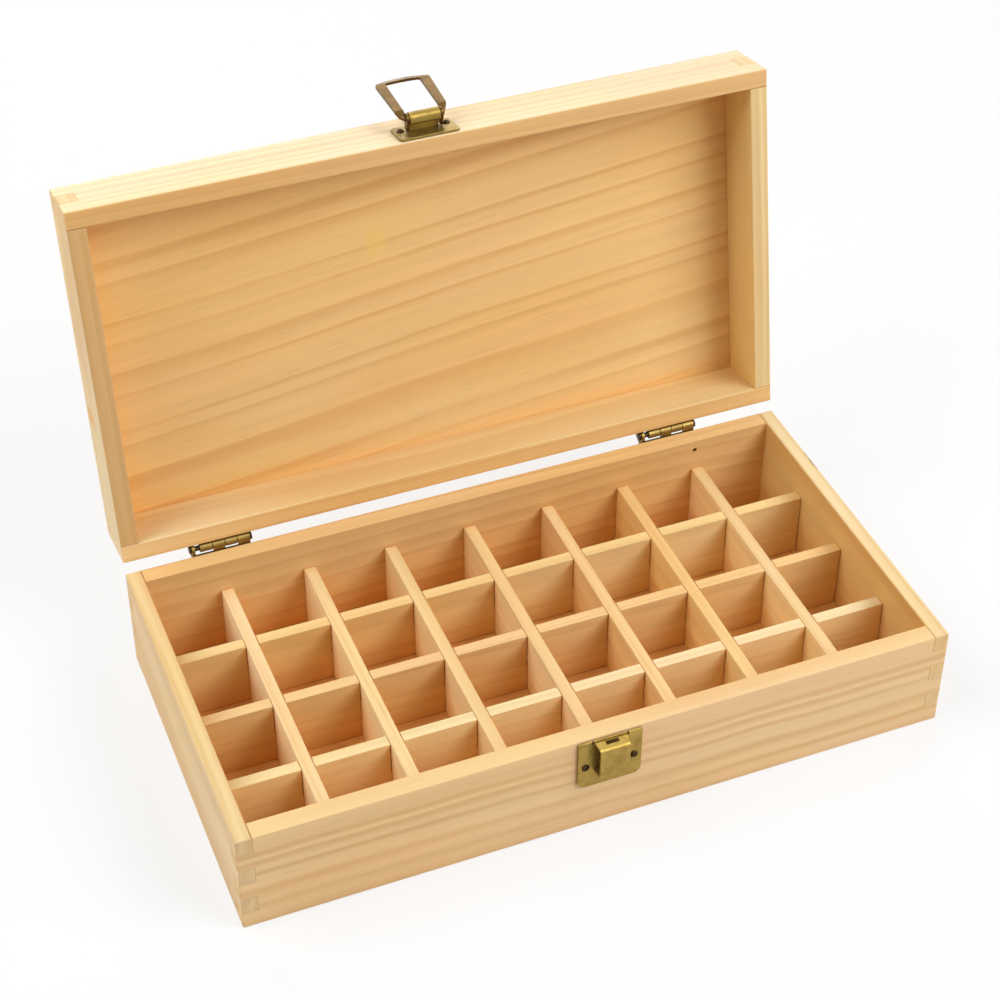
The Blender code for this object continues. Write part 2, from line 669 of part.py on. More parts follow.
def loop_plan():
    """Plan of the loop: a U whose arms run from the ears, by the knee, to a bowed bar."""
    half_far = LOOP_WIDTH / 2
    half_knee = LOOP_KNEE_WIDTH / 2
    half_window = half_knee - LOOP_ARM
    ear_middle = EAR_START + EAR_SHEET / 2
    side_end = LOOP_BOW - LOOP_REACH
    bar_top = LOOP_BAR - LOOP_REACH
    outer_corners = [(ear_middle + EAR_SHEET, STUB_RADIUS), (half_knee, -LOOP_KNEE), (half_far, side_end)]
    outer = rounded_path(outer_corners + [(half_far / 2, side_end)], LOOP_CORNER)
    outer += [(half_far / 4, side_end), (0, side_end)]
    outer = [(x, z - bow(LOOP_BOW, x / half_far) if z < bar_top else z) for x, z in outer]
    inner_corners = [(half_window, -LOOP_KNEE - LOOP_OFFSET), (half_window, bar_top), (half_window / 2, bar_top)]
    inner = rounded_path(inner_corners, LOOP_WINDOW_CORNER) + [(half_window / 4, bar_top), (0, bar_top)]
    inner = [(x, z - bow(LOOP_WINDOW_BOW, x / half_window) if same(z, bar_top) else z) for x, z in inner]
    inner = [(ear_middle, STUB_RADIUS), (ear_middle, -STUB_RADIUS)] + inner
    return mirrored(outer) + mirrored(inner)[::-1]


def latch_loop(lid_axis):
    """Stamped loop: offset arms, a bowed bar, and two ears whose stubs turn in the lug."""
    place = (0, FRONT - PIVOT_OUT, BASE_HEIGHT + PIVOT_RISE)
    pivot = joint_axis("loop_axis", place, LOOP_FOLD_TILT - 180, lid_axis)
    bar_top = LOOP_BAR - LOOP_REACH
    corners = [(0, STUB_RADIUS), (0, -STUB_RADIUS), (LOOP_OFFSET, -LOOP_KNEE), (LOOP_OFFSET, bar_top)]
    corners.append((LOOP_OFFSET - LOOP_LIP, -LOOP_REACH - OVERRUN))
    side_outline = sheet_outline(rounded_path(corners, LOOP_SHEET), LOOP_SHEET)
    loop = prism("latch_loop", side_outline, "YZ", -LOOP_WIDTH, LOOP_WIDTH, pivot, place)
    plan = prism("loop_plan", loop_plan(), "XZ", -LOOP_WIDTH, LOOP_WIDTH, pivot, place)
    combine(loop, plan, "INTERSECT")

    lean = radians(LOOP_FOLD_TILT)
    half_tail = EAR_TAIL_WIDTH / 2
    tail = (PIVOT_OUT - PLATE_FACE - RUNNING_GAP - half_tail * sin(lean)) / cos(lean)
    round_end = arc((0, 0), EAR_RADIUS, 90, -90, 2 * BEND_STEPS)
    ear_outline = [(-tail, half_tail)] + round_end + [(-tail, -half_tail)]
    stub_outline = circle((0, 0), STUB_RADIUS, TURN_STEPS)
    for label, side in (("left", -1), ("right", 1)):
        start = side * EAR_START
        ear = prism(f"loop_{label}_ear", ear_outline, "YZ", start, start + side * EAR_SHEET, pivot, place)
        combine(loop, ear, "UNION")
        stub_start = start - side * STUB_LENGTH
        stub_stop = start + side * EAR_SHEET / 2
        stub = prism(f"loop_{label}_stub", stub_outline, "YZ", stub_start, stub_stop, pivot, place)
        combine(loop, stub, "UNION")
    metal(loop, BRONZE)


def build():
    """Model the whole box."""
    clear_scene()
    lid_axis = joint_axis("lid_axis", (0, HINGE_Y, HINGE_Z), -LID_OPEN_ANGLE)

    base_walls = case_walls("base", 0, BASE_HEIGHT, WALL, END_WALL, BASE_FINGERS, True, None)
    bottom_cut = BOTTOM_THICKNESS + WOOD_GAP
    bottom_sizes = (0, BOTTOM_THICKNESS, -OVERRUN, bottom_cut)
    case_panel("base_bottom_panel", base_walls, WALL, END_WALL, *bottom_sizes, None)
    dividers(bottom_cut)

    lid_walls = case_walls("lid", LID_RIM, LID_TOP, LID_WALL, LID_WALL, LID_FINGERS, False, lid_axis)
    panel_low = LID_TOP - TOP_THICKNESS
    panel_sizes = (panel_low, LID_TOP, panel_low - WOOD_GAP, LID_TOP + OVERRUN)
    case_panel("lid_top_panel", lid_walls, LID_WALL, LID_WALL, *panel_sizes, lid_axis)

    left_hinge = LEFT_HINGE_INSET - HALF_LENGTH - HINGE_LENGTH / 2
    right_hinge = HALF_LENGTH - RIGHT_HINGE_INSET - HINGE_LENGTH / 2
    hinge("hinge_left", left_hinge, base_walls["back"], lid_walls["back"], lid_axis, SCREW_LENGTH)
    hinge("hinge_right", right_hinge, base_walls["back"], lid_walls["back"], lid_axis, LONG_SCREW_LENGTH)

    strike_plate(base_walls["front"])
    lid_plate(lid_walls["front"], lid_axis)
    latch_loop(lid_axis)


build()
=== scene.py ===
"""Looks of the pine storage box: finer forms of every piece, pine and bronze, a plain studio and the camera.

Lengths are in metres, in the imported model's frame: +Z up, X left to right, the front faces -Y. Colours are
linear. Each board's grain is set out as in the closed box, and a turn about the lid's hinge carries it to
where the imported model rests.
"""

import json
import random
from itertools import product
from math import cos, radians, sin

import bmesh
import bpy
from mathutils import Matrix, Vector

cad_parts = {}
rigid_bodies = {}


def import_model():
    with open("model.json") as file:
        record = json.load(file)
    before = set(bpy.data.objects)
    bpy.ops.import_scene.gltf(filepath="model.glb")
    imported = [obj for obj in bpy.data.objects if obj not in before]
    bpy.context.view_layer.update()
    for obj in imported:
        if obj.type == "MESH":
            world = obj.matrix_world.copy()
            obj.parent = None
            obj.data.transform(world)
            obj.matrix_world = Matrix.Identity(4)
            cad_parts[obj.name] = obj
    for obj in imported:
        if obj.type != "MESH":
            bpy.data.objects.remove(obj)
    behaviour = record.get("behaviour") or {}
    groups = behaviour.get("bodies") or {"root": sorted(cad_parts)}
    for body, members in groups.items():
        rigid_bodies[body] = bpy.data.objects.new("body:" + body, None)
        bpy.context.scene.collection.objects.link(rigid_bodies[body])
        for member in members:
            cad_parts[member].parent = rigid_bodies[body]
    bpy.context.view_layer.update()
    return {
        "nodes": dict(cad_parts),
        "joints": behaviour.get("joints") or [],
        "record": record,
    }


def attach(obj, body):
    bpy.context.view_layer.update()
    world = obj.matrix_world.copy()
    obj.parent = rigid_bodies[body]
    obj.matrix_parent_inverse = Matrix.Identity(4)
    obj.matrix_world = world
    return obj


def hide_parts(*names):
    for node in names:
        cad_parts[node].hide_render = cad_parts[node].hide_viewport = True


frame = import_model()

# Forms
SAME_PLACE = 1e-6
FLAT_ANGLE = radians(0.5)
EDGE_ANGLE = radians(28)
ROUND_ANGLE = radians(50)
BOARD_EASING = 0.00015
DIVIDER_EASING = 0.00035
METAL_EASING = 0.00012
SCREW_EASING = 0.00006
EASING_STEPS = 2

# Glue films: the gap between the boards, and how far a film stays under the faces
WOOD_GAP = 0.0002
GLUE_INSET = 0.00012

# Cases: name, number of fingers, and whether the front board has the finger at the rim
CASES = (("base", 6, False), ("lid", 3, True))

# Pine's noises: cycles in a metre along the grain and across it
WANDER_SCALE = (3.0, 6.0)
RIPPLE_SCALE = (17.0, 30.0)
VIGOUR_SCALE = (5.0, 40.0)
FIBRE_SCALE = (24.0, 1500.0)
STREAK_SCALE = (7.0, 190.0)
PATCH_SCALE = (7.0, 26.0)
BLUSH_SCALE = (9.0, 34.0)
CANAL_SCALE = (60.0, 1700.0)

# Pine's makeup: how uneven its years are, the tints of late wood and patches, and the resin canals
YEAR_SPREAD = 1.3
LATE_WOOD = (0.84, 0.70, 0.56, 1)
WARM_PATCH = (1.0, 0.93, 0.80, 1)
PINK_PATCH = (1.0, 0.95, 1.02, 1)
CANAL_RESIN = (0.42, 0.24, 0.10, 1)
CANAL_SHARE = 0.16
FIBRE_DEPTH = 0.13
STREAK_DEPTH = 0.17
STREAK_BASE = 0.85
PINE_SPECULAR = 0.35
GRAIN_BUMP = 0.3
GRAIN_DEPTH = 0.00015

# Pine's painted shade: deeper, more orange colours where light only comes in off other wood, more so on the
# left
OUTER_X = max(point.co.x for point in frame["nodes"]["base_right_wall"].data.vertices)
OUTER_Y = max(point.co.y for point in frame["nodes"]["base_back_wall"].data.vertices)
OUTER_MARGIN = 0.0006
PAINTED_SHADE_REACH = 0.03
PAINTED_SHADE_SPAN = (0.05, 0.66)
PAINTED_SHADE_SHARE = 0.9
PAINTED_SHADE_TURN = 0.12
LEFT_PAINTED_SHADE = (1.0, 0.65, 0.24, 1)
RIGHT_PAINTED_SHADE = (1.0, 0.81, 0.49, 1)

# Pine's colours
CASE_PINE = (0.86, 0.60, 0.30)
END_PINE = (0.79, 0.565, 0.30)
LID_END_PINE = (0.83, 0.65, 0.38)
PANEL_PINE = (0.91, 0.605, 0.245)
# The bottom panel's pine: darker and more orange as painted shade, to blend with the deep shade in the wells
FLOOR_PINE_WITH_PAINTED_SHADE = (0.80, 0.50, 0.19)
GLUE_COLOURS = ((0.60, 0.38, 0.17, 1), (0.74, 0.50, 0.25, 1))

# Each divider's faces and its upper edge, partly the board's own tone and partly painted light and shade,
# fitted to how each divider is lit
DIVIDER_PINES = {
    "long_divider_1": ((0.90, 0.69, 0.35), (0.85, 0.70, 0.39)),
    "long_divider_2": ((0.775, 0.53, 0.235), (0.83, 0.58, 0.28)),
    "long_divider_3": ((0.85, 0.61, 0.27), (0.84, 0.64, 0.305)),
    "cross_divider_1": ((0.94, 0.80, 0.55), (0.85, 0.65, 0.37)),
    "cross_divider_2": ((0.94, 0.78, 0.48), (0.85, 0.65, 0.34)),
    "cross_divider_3": ((0.88, 0.69, 0.37), (0.81, 0.605, 0.305)),
    "cross_divider_4": ((0.91, 0.72, 0.405), (0.84, 0.64, 0.34)),
    "cross_divider_5": ((0.83, 0.575, 0.27), (0.84, 0.595, 0.30)),
    "cross_divider_6": ((0.865, 0.62, 0.27), (0.81, 0.57, 0.255)),
    "cross_divider_7": ((0.93, 0.72, 0.375), (0.79, 0.585, 0.315)),
}
DIVIDER_RINGS = 0.5

# Boards that take on a tint from start to full, along an axis of the closed box; on the long dividers it is
# painted light, paler towards the right
DIVIDER_PAINTED_LIGHT = {
    "long_divider_2": dict(axis="X", start=-0.05, full=0.05, tint=(1.06, 1.12, 1.27), sides_only=True),
    "long_divider_3": dict(axis="X", start=-0.05, full=0.05, tint=(1.08, 1.21, 1.45), sides_only=True),
}
LID_BACK_FADE = dict(axis="X", start=-0.045, full=-0.115, tint=(1.1, 1.2, 1.42))
PANEL_FADE = dict(axis="Y", start=0.005, full=0.05, tint=(1.02, 1.08, 1.19))

# Knots and a pitch stain
EDGE_KNOT = dict(
    middle=(0.1475, 0.039, 0.0475), reach=(0.0016, 0.009, 0.003), tint=(0.27, 0.13, 0.05), share=0.85,
)
SIDE_KNOT = dict(
    middle=(-0.1475, 0.018, 0.066), reach=(0.004, 0.006, 0.010), tint=(0.78, 0.40, 0.12), share=0.75,
)
PANEL_STAIN = dict(
    middle=(-0.02, -0.028, 0.0725), reach=(0.007, 0.011, 0.01), tint=(0.93, 0.64, 0.17), share=0.55,
)
SPOT_GRAIN = 420.0

# The turn that brings a board's grain from Y to X, in degrees
ALONG_Y = (0, 0, -90)

# Bronze: blotches and specks that darken it, dark in its corners as dirt and as painted shade, and wear on
# its edges
BLOTCH_SCALE = 260.0
BLOTCH_SHARE = 0.6
SPECK_SCALE = 2300.0
SPECK_SHARE = 0.4
PATINA_SHARE = 0.6
GRIME_AND_SHADE_SHARE = 0.9
WEAR_SHARE = 0.5
WORN_GAIN = 1.45
BRONZE_METAL = 0.92
PLATING_BUMP = 0.18
PLATING_DEPTH = 0.00008

# Floor, whose glow to the camera grows with the distance from the box
FLOOR_REACH = 6.0
FLOOR_GREY = (0.85, 0.85, 0.85, 1)
GLOW_DISTANCES = (0.3, 1.4)
GLOW_SHARES = (0.7, 1.0)
WHITE = (1, 1, 1, 1)

# Lamps: name, azimuth and elevation in degrees, width in metres and power in watts
LIT_POINT = (0, 0, 0.08)
LAMP_DISTANCE = 1.5
LAMPS = (
    ("right_lamp", 47, 42, 1.0, 19.0),
    ("left_lamp", 262, 49, 1.1, 17.5),
    ("back_lamp", 180, 20, 0.9, 7.0),
    ("back_right_lamp", 140, 42, 0.9, 4.3),
)

# Camera, from the photograph's perspective
CAMERA_PLACE = (-0.266, -0.6259, 0.6799)
CAMERA_TURN = (51.132, -0.164, -21.8)
CAMERA_LENS = 82.869
CAMERA_SHIFT = -0.06


# How far each body is from its place in the closed box

def closing_turns():
    """For each moving body, the matrix that carries its pieces from rest to the closed box."""
    joints = {joint["child"]: joint for joint in frame["joints"]}
    turns = {}
    for body in ("lid", "loop"):
        joint = joints[body]
        pivot = Matrix.Translation(Vector(joint["pos_m"]))
        turn = Matrix.Rotation(radians(joint["range_deg"][1]), 4, Vector(joint["axis"]))
        parent = turns.get(joint["parent"], Matrix.Identity(4))
        turns[body] = parent @ pivot @ turn @ pivot.inverted()
    return turns


CLOSING = closing_turns()
BODY_OF = {node: body for body, nodes in frame["record"]["behaviour"]["bodies"].items() for node in nodes}


# Node trees

class Tree:
    """A node tree that is written as a chain of short calls, each of which returns an output socket."""

    def __init__(self, tree):
        self.tree = tree

    def link(self, output, socket):
        """Link an output to an input."""
        self.tree.links.new(output, socket)

    def node(self, kind, inputs=(), **settings):
        """Add a node; inputs are (socket name or number, value or output to link)."""
        made = self.tree.nodes.new(kind)
        for name, value in settings.items():
            setattr(made, name, value)
        for name, value in inputs:
            if isinstance(value, bpy.types.NodeSocket):
                self.link(value, made.inputs[name])
            else:
                made.inputs[name].default_value = value
        return made

    def math(self, operation, first, second=0.0):
        """One sum of numbers."""
        return self.node("ShaderNodeMath", ((0, first), (1, second)), operation=operation).outputs[0]

    def vector(self, operation, first, second):
        """One sum of vectors."""
        return self.node("ShaderNodeVectorMath", ((0, first), (1, second)), operation=operation).outputs[0]

    def length(self, vector):
        """The length of a vector."""
        return self.node("ShaderNodeVectorMath", ((0, vector),), operation="LENGTH").outputs["Value"]

    def axes(self, vector):
        """The X, Y and Z of a vector."""
        return self.node("ShaderNodeSeparateXYZ", ((0, vector),)).outputs

    def even(self, value):
        """A vector of one number, thrice."""
        return self.node("ShaderNodeCombineXYZ", (("X", value), ("Y", value), ("Z", value))).outputs[0]

    def moved(self, vector, turn, move=(0, 0, 0)):
        """A vector that is turned, then moved."""
        inputs = (("Vector", vector), ("Location", move), ("Rotation", turn))
        return self.node("ShaderNodeMapping", inputs).outputs[0]

    def noise(self, place, scale=1.0, detail=2.0, roughness=0.5):
        """Noise from 0 to 1 at a place."""
        inputs = (("Vector", place), ("Scale", scale), ("Detail", detail), ("Roughness", roughness))
        return self.node("ShaderNodeTexNoise", inputs).outputs["Fac"]

    def noise_colour(self, place, scale, detail):
        """Three noises at once, as a vector round zero."""
        inputs = (("Vector", place), ("Scale", scale), ("Detail", detail))
        colour = self.node("ShaderNodeTexNoise", inputs).outputs["Color"]
        return self.vector("SUBTRACT", colour, (0.5, 0.5, 0.5))

    def noise_line(self, value, scale):
        """Noise from 0 to 1 along one number."""
        inputs = (("W", value), ("Scale", scale), ("Detail", 1.0))
        return self.node("ShaderNodeTexNoise", inputs, noise_dimensions="1D").outputs["Fac"]

    def span(self, value, start, stop, low=0.0, high=1.0):
        """Carry a number smoothly from one range to another, held at its ends."""
        inputs = (
            ("Value", value), ("From Min", start), ("From Max", stop), ("To Min", low), ("To Max", high),
        )
        return self.node("ShaderNodeMapRange", inputs, interpolation_type="SMOOTHSTEP").outputs["Result"]

    def bump(self, height, strength, depth):
        """A bump's normal."""
        inputs = (("Strength", strength), ("Distance", depth), ("Height", height))
        return self.node("ShaderNodeBump", inputs).outputs[0]

    def openness(self, reach, samples):
        """How much of what is within reach of a point is open, from 0 to 1."""
        return self.node("ShaderNodeAmbientOcclusion", (("Distance", reach),), samples=samples).outputs["AO"]

    def mix(self, share, first, second):
        """Mix two colours."""
        return self.node("ShaderNodeMix", ((0, share), (6, first), (7, second)), data_type="RGBA").outputs[2]

    def tint(self, share, colour, tint):
        """Multiply a colour by a tint, as far as the share says."""
        inputs = ((0, share), (6, colour), (7, tint))
        return self.node("ShaderNodeMix", inputs, data_type="RGBA", blend_type="MULTIPLY").outputs[2]


def new_group(name, inputs, outputs):
    """An empty node group, with its tree and its input node's outputs."""
    group = bpy.data.node_groups.new(name, "ShaderNodeTree")
    for label, kind in inputs:
        group.interface.new_socket(name=label, in_out="INPUT", socket_type="NodeSocket" + kind)
    for label, kind in outputs:
        group.interface.new_socket(name=label, in_out="OUTPUT", socket_type="NodeSocket" + kind)
    tree = Tree(group)
    return group, tree, tree.node("NodeGroupInput").outputs


def new_material(name):
    """A material with its tree and its shader node."""
    material = bpy.data.materials.new(name)
    material.use_nodes = True
    return material, Tree(material.node_tree), material.node_tree.nodes["Principled BSDF"]


# Pine

def pine_group():
    """Solid pine: growth rings round a pith that lies along X, with fibres, soft patches and end grain."""
    inputs = (
        ("Place", "Vector"), ("Facing", "Vector"), ("Ring width", "Float"), ("Seed", "Float"),
        ("Colour", "Color"), ("Edge colour", "Color"), ("End colour", "Color"),
        ("Ring strength", "Float"), ("Softness", "Float"), ("Wander", "Float"), ("Ripple", "Float"),
    )
    outputs = (("Colour", "Color"), ("Roughness", "Float"), ("Height", "Float"))
    group, tree, given = new_group("pine_wood", inputs, outputs)
    spread = tree.even(given["Seed"])

    def stretched(scale):
        """The place, drawn out along the grain."""
        along, across = scale
        return tree.vector("ADD", tree.vector("MULTIPLY", given["Place"], (along, across, across)), spread)

    def pushed(start, scale, detail, amount):
        """A place, pushed about by noise."""
        noise = tree.noise_colour(stretched(scale), 1.0, detail)
        push = tree.node("ShaderNodeVectorMath", ((0, noise), ("Scale", amount)), operation="SCALE")
        return tree.vector("ADD", start, push.outputs[0])

    # Rings: a thin dark line that ends each year, or a soft band
    bent = pushed(given["Place"], WANDER_SCALE, 1.0, given["Wander"])
    bent = pushed(bent, RIPPLE_SCALE, 2.0, given["Ripple"])
    radius = tree.length(tree.vector("MULTIPLY", bent, (0.0, 1.0, 1.0)))
    turns = tree.math("DIVIDE", radius, given["Ring width"])
    uneven = tree.noise_line(tree.math("ADD", turns, given["Seed"]), 0.6)
    turns = tree.math("ADD", turns, tree.math("MULTIPLY", uneven, YEAR_SPREAD))
    year = tree.math("FRACT", turns)
    line = tree.math("MULTIPLY", tree.span(year, 0.5, 0.88), tree.span(year, 0.88, 0.985, 1.0, 0.0))
    band = tree.math("MULTIPLY", tree.span(year, 0.1, 0.55), tree.span(year, 0.6, 1.0, 1.0, 0.0))
    softer = tree.math("MULTIPLY", given["Softness"], tree.math("SUBTRACT", band, line))
    late = tree.math("ADD", line, softer)
    vigour = tree.noise(stretched(VIGOUR_SCALE), 1.0, 1.0)
    late = tree.math("MULTIPLY", late, tree.span(vigour, 0.3, 0.7, 0.45, 1.0))
    late = tree.math("MULTIPLY", late, given["Ring strength"])

    # Fibres, streaks, patches and resin canals
    fine = tree.noise(stretched(FIBRE_SCALE), 1.0, 2.0, 0.6)
    coarse = tree.noise(stretched(STREAK_SCALE))
    patch = tree.noise(stretched(PATCH_SCALE), 1.0, 1.0)
    blush = tree.noise(tree.vector("ADD", stretched(BLUSH_SCALE), (5.0, 5.0, 5.0)), 1.0, 1.0)
    canal = tree.span(tree.noise(stretched(CANAL_SCALE), 1.0, 0.0), 0.72, 0.82)

    # Colour; faces that point up or down take the edge colour, which is partly painted light: paler cream
    # tops as painted highlight, darker rims as painted shade
    facing = tree.axes(given["Facing"])
    edge_painted_light_share = tree.span(tree.math("ABSOLUTE", facing["Z"]), 0.5, 0.9)
    end_grain = tree.span(tree.math("ABSOLUTE", facing["X"]), 0.6, 0.95)
    colour = tree.mix(edge_painted_light_share, given["Colour"], given["Edge colour"])
    colour = tree.mix(end_grain, colour, given["End colour"])
    colour = tree.tint(late, colour, LATE_WOOD)
    streak = tree.math("MULTIPLY", fine, FIBRE_DEPTH)
    streak = tree.math("ADD", streak, tree.math("MULTIPLY", coarse, STREAK_DEPTH))
    colour = tree.tint(1.0, colour, tree.even(tree.math("ADD", streak, STREAK_BASE)))
    colour = tree.tint(tree.span(patch, 0.35, 0.7, 0.0, 0.8), colour, WARM_PATCH)
    colour = tree.tint(tree.span(blush, 0.4, 0.75, 0.0, 0.7), colour, PINK_PATCH)
    colour = tree.mix(tree.math("MULTIPLY", canal, CANAL_SHARE), colour, CANAL_RESIN)

    roughness = tree.span(fine, 0.3, 0.7, 0.52, 0.64)
    roughness = tree.math("ADD", roughness, tree.math("MULTIPLY", end_grain, 0.15))
    height = tree.math("ADD", tree.math("MULTIPLY", late, 0.5), tree.math("MULTIPLY", fine, 0.5))
    height = tree.math("SUBTRACT", height, tree.math("MULTIPLY", canal, 0.6))
    tree.node("NodeGroupOutput", (("Colour", colour), ("Roughness", roughness), ("Height", height)))
    return group


PINE = pine_group()


def closed_place(tree, body):
    """A point and a facing of a piece as they are in the closed box."""
    given = tree.node("ShaderNodeTexCoord").outputs
    if body == "base":
        return given["Object"], given["Normal"]
    closing = CLOSING[body]
    turn = closing.to_euler()
    return tree.moved(given["Object"], turn, closing.translation), tree.moved(given["Normal"], turn)


def pine(
    name, body, pith, seed, turn=(0, 0, 0), ring=0.005, colour=CASE_PINE, edge=None, end=END_PINE,
    strength=0.7, softness=0.3, wander=0.012, ripple=0.0012, spot=None, fade=None,
):
    """A board's own pine: its pith, the turn that brings its grain along X, its rings and its colours."""
    material, tree, shader = new_material(name)
    closed, facing = closed_place(tree, body)
    turned = [radians(angle) for angle in turn]
    facing = tree.moved(facing, turned)
    inputs = (
        ("Place", tree.vector("SUBTRACT", tree.moved(closed, turned), pith)), ("Facing", facing),
        ("Ring width", ring), ("Seed", seed),
        ("Colour", (*colour, 1)), ("Edge colour", (*(edge or colour), 1)), ("End colour", (*end, 1)),
        ("Ring strength", strength), ("Softness", softness), ("Wander", wander), ("Ripple", ripple),
    )
    wood = tree.node("ShaderNodeGroup", inputs, node_tree=PINE).outputs
    axes = tree.axes(closed)
    # Painted shade where the wood is sheltered
    shown = with_painted_shade(tree, wood["Colour"], axes)
    # A tint along an axis; on the long dividers it is painted light
    if fade:
        shown = faded(tree, shown, axes, facing, **fade)
    if spot:
        shown = spotted(tree, shown, closed, **spot)
    tree.link(shown, shader.inputs["Base Color"])
    tree.link(wood["Roughness"], shader.inputs["Roughness"])
    tree.link(tree.bump(wood["Height"], GRAIN_BUMP, GRAIN_DEPTH), shader.inputs["Normal"])
    shader.inputs["Specular IOR Level"].default_value = PINE_SPECULAR
    return material


def with_painted_shade(tree, colour, axes):
    """A colour deepened and made more orange where the wood is sheltered, as painted shade, but not on the
    outer faces of the walls.
    """
    share = tree.span(tree.openness(PAINTED_SHADE_REACH, 4), *PAINTED_SHADE_SPAN, PAINTED_SHADE_SHARE, 0.0)
    across = tree.math("SUBTRACT", tree.math("ABSOLUTE", axes["X"]), OUTER_X - OUTER_MARGIN)
    deep = tree.math("SUBTRACT", tree.math("ABSOLUTE", axes["Y"]), OUTER_Y - OUTER_MARGIN)
    within = tree.math("LESS_THAN", tree.math("MAXIMUM", across, deep), 0.0)
    tint = tree.mix(tree.span(axes["X"], -PAINTED_SHADE_TURN, PAINTED_SHADE_TURN), LEFT_PAINTED_SHADE, RIGHT_PAINTED_SHADE)
    return tree.tint(tree.math("MULTIPLY", share, within), colour, tint)


def faded(tree, colour, axes, facing, axis, start, full, tint, sides_only=False):
    """A colour that takes on a tint from start to full, on the board's upright faces alone if asked."""
    share = tree.span(axes[axis], start, full)
    if sides_only:
        upright = tree.math("SUBTRACT", 1.0, tree.math("ABSOLUTE", tree.axes(facing)["Z"]))
        share = tree.math("MULTIPLY", share, upright)
    return tree.tint(share, colour, (*tint, 1))


def spotted(tree, colour, place, middle, reach, tint, share):
    """A knot or a pitch stain in a board: an uneven, soft-edged patch round a point of the closed box."""
    away = tree.vector("DIVIDE", tree.vector("SUBTRACT", place, middle), reach)
    away = tree.vector("ADD", away, tree.noise_colour(place, SPOT_GRAIN, 2.0))
    return tree.mix(tree.span(tree.length(away), 0.35, 1.0, share, 0.0), colour, (*tint, 1))


def glue_material():
    """Dried wood glue, amber and full of sawdust."""
    material, tree, shader = new_material("glue")
    place = tree.node("ShaderNodeTexCoord").outputs["Object"]
    tree.link(tree.mix(tree.noise(place, 1800.0), *GLUE_COLOURS), shader.inputs["Base Color"])
    shader.inputs["Roughness"].default_value = 0.6
    return material


# Bronze

def bronze(name, bright, dark, seed, roughness=0.36, reach=0.0022):
    """Antiqued bronze plating: soft patina, dark in its hollows as dirt and as painted shade, rubbed bright
    along the eased edges.
    """
    material, tree, shader = new_material(name)
    place = tree.node("ShaderNodeTexCoord").outputs["Object"]
    place = tree.vector("ADD", place, (seed, seed, seed))
    blotch = tree.noise(place, BLOTCH_SCALE)
    speck = tree.noise(place, SPECK_SCALE, 2.0, 0.6)
    edge = tree.node("ShaderNodeAttribute", attribute_name="wear").outputs["Fac"]
    rubbed = tree.math("MULTIPLY", edge, tree.span(speck, 0.3, 0.6))
    shade = tree.math("MULTIPLY", blotch, BLOTCH_SHARE)
    shade = tree.math("ADD", shade, tree.math("MULTIPLY", speck, SPECK_SHARE))
    patina = tree.span(shade, 0.3, 0.75, 0.0, PATINA_SHARE)
    # Dark in the hollows within reach: partly dirt, partly painted shade
    grime_and_shade = tree.span(tree.openness(reach, 8), 0.25, 0.85, GRIME_AND_SHADE_SHARE, 0.0)
    colour = tree.mix(tree.math("MAXIMUM", patina, grime_and_shade), (*bright, 1), (*dark, 1))
    worn = [min(1.0, channel * WORN_GAIN) for channel in bright]
    colour = tree.mix(tree.math("MULTIPLY", rubbed, WEAR_SHARE), colour, (*worn, 1))
    tree.link(colour, shader.inputs["Base Color"])
    tree.link(tree.span(shade, 0.3, 0.8, roughness - 0.05, roughness + 0.14), shader.inputs["Roughness"])
    tree.link(tree.bump(shade, PLATING_BUMP, PLATING_DEPTH), shader.inputs["Normal"])
    shader.inputs["Metallic"].default_value = BRONZE_METAL
    return material


# Pieces

def placed(name, data):
    """Put a mesh, a light or a camera in the scene."""
    holder = bpy.data.objects.new(name, data)
    bpy.context.scene.collection.objects.link(holder)
    return holder


def finished_mesh(builder, name, material):
    """What a builder has made, as a mesh with a material."""
    mesh = bpy.data.meshes.new(name)
    builder.to_mesh(mesh)
    builder.free()
    mesh.materials.append(material)
    return mesh


def refined(node, easing, material):
    """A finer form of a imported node: its flat faces made whole and its edges eased and marked as worn."""
    body = BODY_OF[node]
    builder = bmesh.new()
    builder.from_mesh(frame["nodes"][node].data)
    bmesh.ops.remove_doubles(builder, verts=builder.verts, dist=SAME_PLACE)
    bmesh.ops.dissolve_limit(builder, angle_limit=FLAT_ANGLE, verts=builder.verts, edges=builder.edges)
    worn = builder.faces.layers.float.new("wear")
    shared = [edge for edge in builder.edges if len(edge.link_faces) == 2]
    eased = bmesh.ops.bevel(
        builder, geom=[edge for edge in shared if edge.calc_face_angle() > EDGE_ANGLE], offset=easing,
        segments=EASING_STEPS, profile=0.5, affect="EDGES", clamp_overlap=True,
    )
    for face in eased["faces"]:
        face[worn] = 1.0
    mesh = finished_mesh(builder, node + "_form", material)
    mesh.shade_smooth()
    mesh.set_sharp_from_angle(angle=ROUND_ANGLE)
    piece = placed(node + "_form", mesh)
    weighted = piece.modifiers.new("even_shading", "WEIGHTED_NORMAL")
    weighted.keep_sharp = True
    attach(piece, body)
    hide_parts(node)


